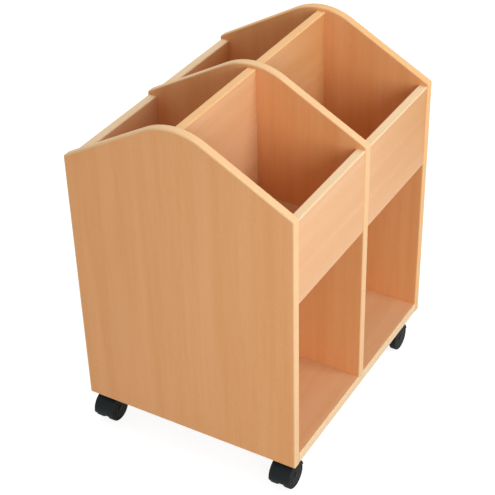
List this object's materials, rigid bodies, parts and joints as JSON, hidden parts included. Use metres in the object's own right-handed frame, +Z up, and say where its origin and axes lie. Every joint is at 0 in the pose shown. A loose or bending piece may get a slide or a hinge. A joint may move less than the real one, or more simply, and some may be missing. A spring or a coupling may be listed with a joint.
{
  "type": "picture book browser trolley",
  "caption": "Double-sided book browser bin in faced board: open bins above, open shelf bays below, bell-topped cross panels, hooded twin-wheel swivel casters.",
  "frame": {"origin": "on the floor under the middle of the cabinet", "axes": "+Z up, X across the cabinet, Y along it over the two bays, front end panel at -Y, casters trailing towards -Y"},
  "size_m": [0.498, 0.6083, 0.7801],
  "materials": {
    "beech_board": "satin beech-decor melamine, grain upright on the gable panels and lengthwise on the rest",
    "beech_edging": "satin pale beech edge banding with rounded arrises",
    "dowel_wood": "plain beech dowel",
    "zinc_fitting": "zinc-plated",
    "steel": "bright steel",
    "black_plate": "black, satin",
    "black_plastic": "moulded black nylon, soft sheen",
    "black_wheel": "moulded black nylon wheel, satin"
  },
  "bodies": {
    "cabinet": {"front_end_panel": "beech_board", "middle_panel": "beech_board", "rear_end_panel": "beech_board", "bottom_shelf": "beech_board", "front_divider": "beech_board", "rear_divider": "beech_board", "front_left_apron": "beech_board", "front_right_apron": "beech_board", "rear_left_apron": "beech_board", "rear_right_apron": "beech_board", "front_left_bin_floor": "beech_board", "front_right_bin_floor": "beech_board", "rear_left_bin_floor": "beech_board", "rear_right_bin_floor": "beech_board", "front_end_panel_edging": "beech_edging", "middle_panel_edging": "beech_edging", "rear_end_panel_edging": "beech_edging", "bottom_shelf_edgings": "beech_edging", "front_divider_edging": "beech_edging", "rear_divider_edging": "beech_edging", "front_left_apron_edgings": "beech_edging", "front_right_apron_edgings": "beech_edging", "rear_left_apron_edgings": "beech_edging", "rear_right_apron_edgings": "beech_edging", "dowels": "dowel_wood", "cam_locks": "zinc_fitting", "cam_bolts": "zinc_fitting", "confirmat_screws": "zinc_fitting", "caster_screws": "zinc_fitting", "stem_retaining_rings": "steel", "front_left_caster_plate": "black_plate", "front_left_caster_stem": "steel", "front_right_caster_plate": "black_plate", "front_right_caster_stem": "steel", "rear_left_caster_plate": "black_plate", "rear_left_caster_stem": "steel", "rear_right_caster_plate": "black_plate", "rear_right_caster_stem": "steel"},
    "front_left_caster": {"front_left_caster_housing": "black_plastic", "front_left_caster_axle": "steel"},
    "front_left_caster_left_wheel_body": {"front_left_caster_left_wheel": "black_wheel"},
    "front_left_caster_right_wheel_body": {"front_left_caster_right_wheel": "black_wheel"},
    "front_right_caster": {"front_right_caster_housing": "black_plastic", "front_right_caster_axle": "steel"},
    "front_right_caster_left_wheel_body": {"front_right_caster_left_wheel": "black_wheel"},
    "front_right_caster_right_wheel_body": {"front_right_caster_right_wheel": "black_wheel"},
    "rear_left_caster": {"rear_left_caster_housing": "black_plastic", "rear_left_caster_axle": "steel"},
    "rear_left_caster_left_wheel_body": {"rear_left_caster_left_wheel": "black_wheel"},
    "rear_left_caster_right_wheel_body": {"rear_left_caster_right_wheel": "black_wheel"},
    "rear_right_caster": {"rear_right_caster_housing": "black_plastic", "rear_right_caster_axle": "steel"},
    "rear_right_caster_left_wheel_body": {"rear_right_caster_left_wheel": "black_wheel"},
    "rear_right_caster_right_wheel_body": {"rear_right_caster_right_wheel": "black_wheel"}
  },
  "joints": [
    {"name": "front_left_swivel", "type": "hinge", "parent": "cabinet", "child": "front_left_caster", "pos_m": [-0.215, -0.254, 0.06], "axis": [0, 0, 1], "continuous": true},
    {"name": "front_left_left_wheel_spin", "type": "hinge", "parent": "front_left_caster", "child": "front_left_caster_left_wheel_body", "pos_m": [-0.215, -0.276, 0.03], "axis": [1, 0, 0], "continuous": true},
    {"name": "front_left_right_wheel_spin", "type": "hinge", "parent": "front_left_caster", "child": "front_left_caster_right_wheel_body", "pos_m": [-0.215, -0.276, 0.03], "axis": [1, 0, 0], "continuous": true},
    {"name": "front_right_swivel", "type": "hinge", "parent": "cabinet", "child": "front_right_caster", "pos_m": [0.215, -0.254, 0.06], "axis": [0, 0, 1], "continuous": true},
    {"name": "front_right_left_wheel_spin", "type": "hinge", "parent": "front_right_caster", "child": "front_right_caster_left_wheel_body", "pos_m": [0.215, -0.276, 0.03], "axis": [1, 0, 0], "continuous": true},
    {"name": "front_right_right_wheel_spin", "type": "hinge", "parent": "front_right_caster", "child": "front_right_caster_right_wheel_body", "pos_m": [0.215, -0.276, 0.03], "axis": [1, 0, 0], "continuous": true},
    {"name": "rear_left_swivel", "type": "hinge", "parent": "cabinet", "child": "rear_left_caster", "pos_m": [-0.215, 0.254, 0.06], "axis": [0, 0, 1], "continuous": true},
    {"name": "rear_left_left_wheel_spin", "type": "hinge", "parent": "rear_left_caster", "child": "rear_left_caster_left_wheel_body", "pos_m": [-0.215, 0.232, 0.03], "axis": [1, 0, 0], "continuous": true},
    {"name": "rear_left_right_wheel_spin", "type": "hinge", "parent": "rear_left_caster", "child": "rear_left_caster_right_wheel_body", "pos_m": [-0.215, 0.232, 0.03], "axis": [1, 0, 0], "continuous": true},
    {"name": "rear_right_swivel", "type": "hinge", "parent": "cabinet", "child": "rear_right_caster", "pos_m": [0.215, 0.254, 0.06], "axis": [0, 0, 1], "continuous": true},
    {"name": "rear_right_left_wheel_spin", "type": "hinge", "parent": "rear_right_caster", "child": "rear_right_caster_left_wheel_body", "pos_m": [0.215, 0.232, 0.03], "axis": [1, 0, 0], "continuous": true},
    {"name": "rear_right_right_wheel_spin", "type": "hinge", "parent": "rear_right_caster", "child": "rear_right_caster_right_wheel_body", "pos_m": [0.215, 0.232, 0.03], "axis": [1, 0, 0], "continuous": true}
  ]
}
